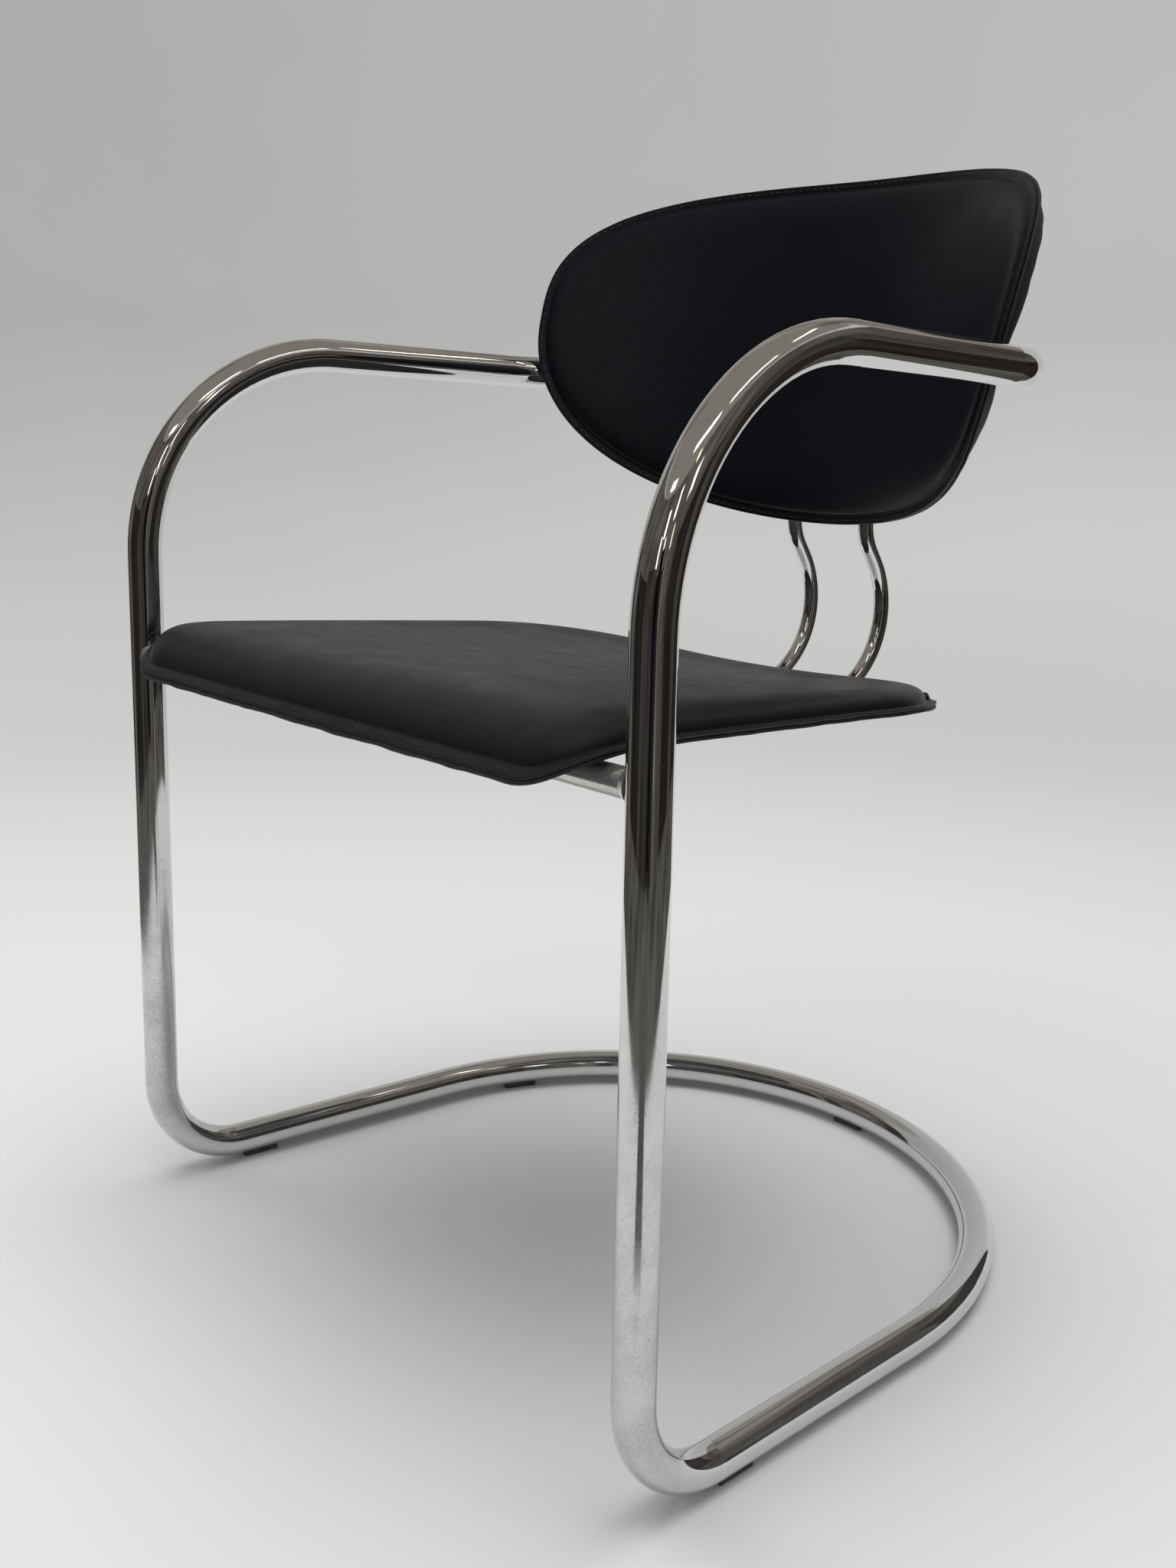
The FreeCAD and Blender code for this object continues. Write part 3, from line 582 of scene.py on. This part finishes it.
def seatPlace(point, height):
    return Vector((point.x, point.y, seatLevel(point.x, point.y) + height))


# the raw edge is a little uneven, up and down and in and out
def roughEdge(seed, lift, reach):
    def change(point, height, share, inset):
        if inset > 7.5:
            return point, height
        free = 1 - inset / 7.5
        turn = share * 2 * math.pi
        spot = Vector((math.cos(turn) * 9, math.sin(turn) * 9, seed))
        near = Vector((math.cos(turn) * 42, math.sin(turn) * 42, seed))
        height += free * lift * (0.6 * noise.noise(spot) + 0.6 * noise.noise(near))
        point = point * (1 + free * reach * noise.noise(near + Vector((0, 0, 5))) / 250)
        return point, height
    return change


def smoothStep(value, low, high):
    t = min(1.0, max(0.0, (value - low) / (high - low)))
    return t * t * (3 - 2 * t)


# the pad is thinner towards the rear, and the cover puckers along its seam near the front corners
def seatChange(point, height, share, inset):
    back = smoothStep(point.y - seat["legLine"], seat["fullUntil"], seat["depth"] - seat["overhang"])
    if inset > 6.9:
        thin = seat["thinBack"] * back * smoothStep(inset, 8.0, 60.0)
        height = 1.9 + (height - 1.9) * (1 - thin)
        corner = min(abs(share - seatLine["corners"][k]) for k in (0, 1)) * seatLine["length"]
        strength = 1 - smoothStep(corner, 20.0, seat["puckerReach"])
        window = smoothStep(inset, 7.0, 9.5) * (1 - smoothStep(inset, 13.0, 30.0))
        wave = math.sin(2 * math.pi * share * seatLine["length"] / 8.3 + 1.5 * math.sin(share * 40))
        height += seat["pucker"] * strength * window * wave
    return roughEdge(1.0, 0.8, 0.8)(point, height, share, inset)


seatLine = seatCut()
topSection = [(0, 1.9), (0.9, 2.3), (2.6, 2.3), (4.6, 2.2), (6.2, 2.0), (6.9, 1.9), (7.2, 3.2), (7.5, 4.9),
              (8.3, 6.9), (9.8, 9.0), (12.2, 10.9), (15.6, 12.5), (19.8, 13.8), (24.6, 14.7), (30.0, 15.4),
              (35.5, 15.9)]
seatCover = makeCover("seatCover", seatLine, topSection, seatPlace, 96, seatLeather,
                      rise=seat["rise"], edge=seatChange)
faceAway(seatCover, lambda p: Vector((p.x, p.y, 0.40)))
puff(seatCover, {"from": 6.9, "over": 12.0, "give": 0.98, "stiff": 25.0, "bend": 2.0, "shrink": -0.012,
                 "pressure": 3.0, "pin": 1.0, "cap": 2.5})
thicken(seatCover, seat["leather"] - 0.1)
underSection = [(0, -1.9), (0.9, -2.3), (3.0, -2.3), (6.0, -2.2), (7.0, -2.3), (8.0, -3.2), (10.0, -3.7)]
seatUnder = makeCover("seatUnder", seatLine, underSection, seatPlace, 64, underLeather,
                      edge=roughEdge(1.0, 0.8, 0.8))
faceAway(seatUnder, lambda p: Vector((p.x, p.y, 1.0)))
thicken(seatUnder, seat["leather"] - 0.2)
print("seat made")

# backrest, a slanted cone

back = {
    "width": 549.0, "middle": 681.5, "rise": 103.5, "drop": 155.0, "reach": 467.0, "radius": 296.0,
    "flare": 0.325, "lean": 0.172, "topPower": 3.0, "bottomPower": 2.05,
    "leather": 2.2, "uneven": 3.5,
    "fullFrom": 185.0, "fullTo": 250.0, "rearFull": 3.6, "armHeight": 644.5,
}


def backPlace(point, behind):
    above = point.y - back["middle"]
    radius = back["radius"] + back["flare"] * above
    centre = back["reach"] + seat["legLine"] - radius + back["lean"] * above
    turn = point.x / radius
    reach = radius + behind
    return Vector((reach * math.sin(turn), centre + reach * math.cos(turn), point.y))


def backCut():
    line = []
    corners = []
    for i in range(720):
        turn = math.radians(i / 2)
        c, s = math.cos(turn), math.sin(turn)
        power = back["topPower"] if s > 0 else back["bottomPower"]
        tall = back["rise"] if s > 0 else back["drop"]
        along = back["width"] / 2 * math.copysign(abs(c) ** (2 / power), c)
        above = tall * math.copysign(abs(s) ** (2 / power), s)
        above -= back["uneven"] * max(0.0, s) * along / (back["width"] / 2)
        line.append(Vector((along, back["middle"] + above)))
        if i in (90, 270, 450, 630):
            corners.append(line[-1])
    corners = [corners[2], corners[3], corners[0], corners[1]]
    return makeCut(line, corners)


backLine = backCut()
innerSection = [(0, 1.9), (0.9, 2.3), (2.6, 2.25), (4.6, 2.1), (6.2, 1.9), (6.9, 1.8), (7.3, 2.9), (8.0, 4.2),
                (9.4, 5.5), (11.6, 6.6), (14.6, 7.5), (18.5, 8.2), (23.5, 8.7), (30.0, 9.0)]
backCover = makeCover("backCover", backLine, innerSection, lambda p, h: backPlace(p, -h), 96, backLeather,
                      rise=0.4, edge=roughEdge(3.0, 0.7, 0.0))
faceAway(backCover, lambda p: Vector((p.x * 2, p.y + 0.3, p.z)))
puff(backCover, {"from": 6.9, "over": 14.0, "give": 0.97, "stiff": 25.0, "bend": 2.0, "shrink": -0.008,
                 "pressure": 2.0, "pin": 1.0, "cap": 2.0})
thicken(backCover, back["leather"] - 0.1)


# the rear leather stands fuller and wrinkled beside the ends, and lies flat under the arm tubes
def rearChange(point, height, share, inset):
    side = smoothStep(abs(point.x), back["fullFrom"], back["fullTo"])
    arm = 1 - math.exp(-((point.y - back["armHeight"]) / 26.0) ** 2)
    window = smoothStep(inset, 5.5, 13.0) * (1 - smoothStep(inset, 26.0, 60.0))
    spot = Vector((point.x / 9, point.y / 16, 7.0))
    height += side * arm * window * (
        back["rearFull"] + 1.1 * noise.noise(spot) + 0.5 * noise.noise(spot * 2.7))
    return roughEdge(3.0, -0.7, 0.0)(point, height, share, inset)


rearSection = [(0, 1.9), (0.9, 2.3), (2.6, 2.3), (4.6, 2.2), (6.4, 2.1), (7.2, 2.6), (8.2, 3.6), (10.0, 4.3),
               (13.0, 4.7), (18.0, 4.7)]
backRear = makeCover("backRear", backLine, rearSection, backPlace, 80, rearLeather, edge=rearChange)
faceAway(backRear, lambda p: Vector((0, p.y - 0.3, p.z)))
thicken(backRear, back["leather"] - 0.2)
print("backrest made")


# stitches, one small capsule for each, along a line inside the edge

def stitchRow(name, cut, place, inset, pitch, size, height):
    bm = bmesh.new()
    count = round(cut["length"] / pitch)
    for k in range(count):
        share = (k + 0.5) / count
        here = place(cutPoint(cut, share, inset), height)
        ahead = place(cutPoint(cut, share + 0.3 / count, inset), height) - here
        up = (place(cutPoint(cut, share, inset), height + 1) - here).normalized()
        ahead.normalize()
        side = up.cross(ahead).normalized()
        turn = Matrix((ahead, side, ahead.cross(side))).transposed().to_4x4()
        made = bmesh.ops.create_uvsphere(bm, u_segments=6, v_segments=4, radius=0.5)
        bmesh.ops.rotate(bm, verts=made["verts"], matrix=Matrix.Rotation(math.pi / 2, 3, "Y"))
        bmesh.ops.scale(bm, verts=made["verts"], vec=Vector(size) * mm)
        bmesh.ops.transform(bm, verts=made["verts"], matrix=Matrix.Translation(here * mm) @ turn)
    mesh = bpy.data.meshes.new(name)
    bm.to_mesh(mesh)
    bm.free()
    piece = bpy.data.objects.new(name, mesh)
    scene.collection.objects.link(piece)
    mesh.materials.append(thread)
    mesh.shade_smooth()
    return piece


stitches = {"pitch": 6.6, "size": (4.8, 0.8, 0.6), "inset": 3.4}
seatStitches = stitchRow("seatStitches", seatLine, seatPlace, stitches["inset"], stitches["pitch"],
                         stitches["size"], 2.35)
backStitches = stitchRow("backStitches", backLine, lambda p, h: backPlace(p, -h), stitches["inset"],
                         stitches["pitch"], stitches["size"], 2.3)
rearStitches = stitchRow("rearStitches", backLine, backPlace, stitches["inset"], stitches["pitch"],
                         stitches["size"], 2.35)
print("stitches made")

# a small fold of leather stands up at the seat's rear corner

fold = {"at": 50.0, "wide": 9.0, "tall": 5.5, "thick": 1.8, "inset": 2.0, "turn": 1.9}


def cornerFold():
    outward = Vector((math.cos(math.radians(fold["at"])), math.sin(math.radians(fold["at"]))))
    shares = [i / 400 for i in range(400)]
    share = max(shares, key=lambda v: cutPoint(seatLine, v).dot(outward))
    bm = bmesh.new()
    bmesh.ops.create_grid(bm, x_segments=8, y_segments=8, size=0.5)
    for vert in bm.verts:
        along = vert.co.x * fold["wide"]
        turn = (vert.co.y + 0.5) * fold["turn"]
        lift = 1.6 + fold["tall"] * math.sin(turn) * (1 - (vert.co.x * 1.5) ** 2)
        reach = fold["inset"] + 3.2 * (1 - math.cos(turn)) + 0.4 * math.sin(along * 1.7)
        spot = share + along / seatLine["length"]
        vert.co = seatPlace(cutPoint(seatLine, spot, reach), lift) * mm
    bmesh.ops.recalc_face_normals(bm, faces=bm.faces)
    mesh = bpy.data.meshes.new("cornerFold")
    bm.to_mesh(mesh)
    bm.free()
    piece = bpy.data.objects.new("cornerFold", mesh)
    scene.collection.objects.link(piece)
    mesh.materials.append(rearLeather)
    mesh.shade_smooth()
    thicken(piece, fold["thick"])
    return piece


foldPiece = cornerFold()

for piece, stoodFor, slot in ((seatCover, ("seat_top_leather", "seat_foam"), "leather_seat"),
                              (seatUnder, ("seat_under_leather",), "leather_seat"),
                              (backCover, ("back_front_leather", "back_foam"), "leather_back"),
                              (backRear, ("back_rear_leather",), "leather_back")):
    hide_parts(*stoodFor)
    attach(piece, "root")
for piece, slot in ((seatStitches, "leather_seat"), (backStitches, "leather_back"),
                    (rearStitches, "leather_back"), (foldPiece, "leather_seat")):
    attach(piece, "root")

# room: a pale floor that sweeps up into a glowing wall with painted light, lamps, and cards that only
# reflections see

room = {
    "flat": 1.9, "radius": 3.4, "height": 3.4,      # metres
    "floor": (0.60, 0.605, 0.59, 1),
    # the wall's glow is painted light: brighter low down, darker high up, and brighter to one side
    "low": (0.62, 0.625, 0.605, 1), "high": (0.455, 0.462, 0.45, 1), "sideways": 0.22,
    "sky": 0.68, "ceiling": (0.25, 0.225, 0.20, 1),
}


def sweepMaterial():
    material, tree, shader, place = startMaterial("studioSweep")
    axes = add(tree, "ShaderNodeSeparateXYZ", {0: place})
    soft = add(tree, "ShaderNodeTexNoise", {"Vector": place, "Scale": 1.3, "Detail": 3.0})
    # painted light: the wall glows instead of being lit, brighter low down and darker towards the top
    glow = add(tree, "ShaderNodeMapRange", {0: axes.outputs["Z"], 1: 0.0, 2: 0.35, 3: 0.0, 4: 1.0},
               interpolation_type="SMOOTHSTEP").outputs[0]
    rise = rescale(tree, axes.outputs["Z"], 0.05, 0.8)
    rise = sums(tree, "ADD", rise, rescale(tree, soft.outputs[0], 0.3, 0.7, -0.08, 0.08), clamp=True)
    wall = blendColour(tree, rise, room["low"], room["high"])
    # painted light: the wall's glow is brighter on one side than on the other
    across = (math.cos(math.radians(view["azimuth"])), math.sin(math.radians(view["azimuth"])), 0)
    side = add(tree, "ShaderNodeVectorMath", {0: place, 1: across},
               operation="DOT_PRODUCT").outputs["Value"]
    brighter = rescale(tree, side, -room["radius"], room["radius"],
                       1 - room["sideways"], 1 + room["sideways"])
    sideGlow = add(tree, "ShaderNodeCombineColor", {0: brighter, 1: brighter, 2: brighter}).outputs[0]
    wall = blendColour(tree, 1.0, wall, sideGlow, "MULTIPLY")
    black = (0, 0, 0, 1)
    connect(tree, shader, {"Base Color": blendColour(tree, glow, room["floor"], black), "Roughness": 0.9,
                           "Specular IOR Level": 0.2, "Emission Color": blendColour(tree, glow, black, wall),
                           "Emission Strength": 1.0})
    return material


def stagePiece(name, bm, material):
    mesh = bpy.data.meshes.new(name)
    bm.to_mesh(mesh)
    bm.free()
    piece = bpy.data.objects.new(name, mesh)
    scene.collection.objects.link(piece)
    mesh.materials.append(material)
    mesh.shade_smooth()
    return piece


def makeRoom():
    bm = bmesh.new()
    bend = room["radius"] - room["flat"]
    line = [(room["flat"] * k / 6, 0.0) for k in range(7)]
    for k in range(1, 13):
        turn = math.radians(k * 7.5)
        line.append((room["flat"] + bend * math.sin(turn), bend * (1 - math.cos(turn))))
    line.append((room["radius"], room["height"]))
    verts = [bm.verts.new((r, 0, z)) for r, z in line]
    edges = [bm.edges.new(pair) for pair in zip(verts, verts[1:])]
    bmesh.ops.spin(bm, geom=verts + edges, cent=(0, 0, 0), axis=(0, 0, 1), angle=2 * math.pi, steps=96,
                   use_merge=True)
    bmesh.ops.remove_doubles(bm, verts=bm.verts, dist=1e-5)
    bmesh.ops.recalc_face_normals(bm, faces=bm.faces)
    bmesh.ops.reverse_faces(bm, faces=bm.faces)
    sweep = stagePiece("sweep", bm, sweepMaterial())
    total = sum(p.normal.z * p.area for p in sweep.data.polygons)
    if total < 0:
        sweep.data.flip_normals()
    world = bpy.data.worlds.new("sky")
    world.use_nodes = True
    tree = world.node_tree
    out = next(n for n in tree.nodes if n.type == "OUTPUT_WORLD")
    path = add(tree, "ShaderNodeLightPath")
    sky = add(tree, "ShaderNodeBackground", {0: (1, 1, 1, 1), 1: room["sky"]})
    ceiling = add(tree, "ShaderNodeBackground", {0: room["ceiling"], 1: 1.0})
    mixed = add(tree, "ShaderNodeMixShader", {0: path.outputs["Is Glossy Ray"], 1: sky.outputs[0],
                                              2: ceiling.outputs[0]})
    tree.links.new(mixed.outputs[0], out.inputs[0])
    scene.world = world


# lamps: size and height in metres, strength in watts
lamps = [
    {"name": "overhead", "at": (0.1, -0.2, 2.7), "to": (0, -0.1, 0.3), "size": (2.6, 2.0), "watts": 68},
    {"name": "window", "at": (-2.2, -1.4, 1.9), "to": (0, 0, 0.5), "size": (1.2, 1.6), "watts": 14},
]


def makeLamps():
    for spec in lamps:
        data = bpy.data.lights.new(spec["name"], "AREA")
        data.shape = "RECTANGLE"
        data.size, data.size_y = spec["size"]
        data.energy = spec["watts"]
        lamp = bpy.data.objects.new(spec["name"], data)
        lamp.location = spec["at"]
        way = Vector(spec["to"]) - Vector(spec["at"])
        lamp.rotation_euler = way.to_track_quat("-Z", "Y").to_euler()
        lamp.visible_glossy = False
        scene.collection.objects.link(lamp)


# cards seen only in reflections: middle and size in degrees round and above the chair, and a shade
cards = [
    {"name": "darkRoom", "at": (50, 0), "size": (250, 30), "reach": 1.87, "shade": (0.022, 0.0175, 0.015)},
    {"name": "upperRoom", "at": (50, 27), "size": (250, 26), "reach": 1.87, "shade": (0.10, 0.086, 0.075)},
    {"name": "behindPaper", "at": (230, 45), "size": (116, 32), "reach": 1.87, "shade": (0.25, 0.225, 0.20)},
    {"name": "olivePanel", "at": (71, 2), "size": (28, 32), "reach": 1.83, "shade": (0.085, 0.078, 0.066)},
    {"name": "brownPanel", "at": (20, 2), "size": (34, 32), "reach": 1.83, "shade": (0.045, 0.038, 0.033)},
    {"name": "paleDoor", "at": (61, 3), "size": (5, 26), "reach": 1.81, "shade": (0.16, 0.15, 0.13)},
    {"name": "blackGap", "at": (46, 4), "size": (9, 34), "reach": 1.81, "shade": (0.004, 0.003, 0.003)},
    {"name": "blueCloth", "at": (50.5, -6), "size": (4, 18), "reach": 1.79, "shade": (0.010, 0.020, 0.036)},
    {"name": "farScreen", "at": (132, 6), "size": (18, 40), "reach": 1.83, "shade": (0.07, 0.066, 0.06)},
    {"name": "greySheet", "at": (-52, 6), "size": (22, 40), "reach": 1.83, "shade": (0.10, 0.10, 0.095)},
    {"name": "tubeLampNear", "at": (60, 52), "size": (34, 3.4), "reach": 1.84, "shade": (3.6, 3.5, 3.2)},
    {"name": "tubeLampSide", "at": (104, 52), "size": (34, 2.6), "reach": 1.84, "shade": (3.4, 3.2, 2.7)},
    {"name": "tubeLampLeft", "at": (14, 44), "size": (16, 3.4), "reach": 1.84, "shade": (3.2, 3.2, 3.1)},
    {"name": "tubeLampBack", "at": (152, 58), "size": (30, 2.2), "reach": 1.84, "shade": (2.6, 2.5, 2.1)},
    {"name": "paneOne", "at": (30, 22), "size": (3.5, 9), "reach": 1.82, "shade": (2.2, 2.3, 2.4)},
    {"name": "paneTwo", "at": (38, 29), "size": (4.5, 8), "reach": 1.82, "shade": (2.4, 2.5, 2.6)},
    {"name": "paneThree", "at": (45, 20), "size": (2.5, 8), "reach": 1.82, "shade": (1.6, 1.6, 1.6)},
    {"name": "paneFour", "at": (57, 31), "size": (4.5, 9), "reach": 1.82, "shade": (2.2, 2.2, 2.1)},
    {"name": "paneFive", "at": (65, 20), "size": (3, 6), "reach": 1.82, "shade": (1.2, 1.1, 0.9)},
    {"name": "paneSix", "at": (84, 27), "size": (7, 8), "reach": 1.82, "shade": (1.3, 1.35, 1.4)},
    {"name": "warmLamp", "at": (70, 40), "size": (4, 3), "reach": 1.82, "shade": (3.0, 2.3, 1.2)},
]
# dark floor outside the paper, and a strip of it that comes nearer
darkFloors = [
    {"name": "darkFloor", "from": 1.02, "to": 1.88, "at": 50, "wide": 250, "shade": (0.085, 0.08, 0.072)},
    {"name": "darkStrip", "from": 0.70, "to": 1.03, "at": 49, "wide": 17, "shade": (0.05, 0.045, 0.04)},
]


def cardMaterial(name, shade):
    material, tree, shader, place = startMaterial(name)
    blotch = add(tree, "ShaderNodeTexNoise", {"Vector": place, "Scale": 2.2, "Detail": 4.0})
    colour = blendColour(tree, rescale(tree, blotch.outputs[0], 0.35, 0.65),
                         (*(0.55 * v for v in shade), 1), (*(1.45 * v for v in shade), 1))
    connect(tree, shader, {"Base Color": (0, 0, 0, 1), "Roughness": 1.0, "Specular IOR Level": 0.0,
                           "Emission Color": colour, "Emission Strength": 1.0})
    return material


def showOnlyInReflections(card):
    card.visible_camera = False
    card.visible_diffuse = False
    card.visible_shadow = False
    card.visible_transmission = False


def makeCards():
    for spec in cards:
        bm = bmesh.new()
        bmesh.ops.create_grid(bm, x_segments=24, y_segments=6, size=0.5)
        for vert in bm.verts:
            turn = math.radians(spec["at"][0] + vert.co.x * spec["size"][0])
            up = math.radians(spec["at"][1] + vert.co.y * spec["size"][1])
            flat = spec["reach"] * math.cos(up)
            vert.co = Vector((flat * math.sin(turn), -flat * math.cos(turn),
                              0.45 + spec["reach"] * math.sin(up)))
        showOnlyInReflections(stagePiece(spec["name"], bm, cardMaterial(spec["name"], spec["shade"])))
    for spec in darkFloors:
        bm = bmesh.new()
        bmesh.ops.create_grid(bm, x_segments=48, y_segments=2, size=0.5)
        for vert in bm.verts:
            turn = math.radians(spec["at"] + vert.co.x * spec["wide"])
            reach = spec["from"] + (vert.co.y + 0.5) * (spec["to"] - spec["from"])
            vert.co = Vector((reach * math.sin(turn), -reach * math.cos(turn), 0.003))
        showOnlyInReflections(stagePiece(spec["name"], bm, cardMaterial(spec["name"], spec["shade"])))


makeCamera()
makeRoom()
makeLamps()
makeCards()
scene.view_settings.view_transform = "Standard"
print("room made")
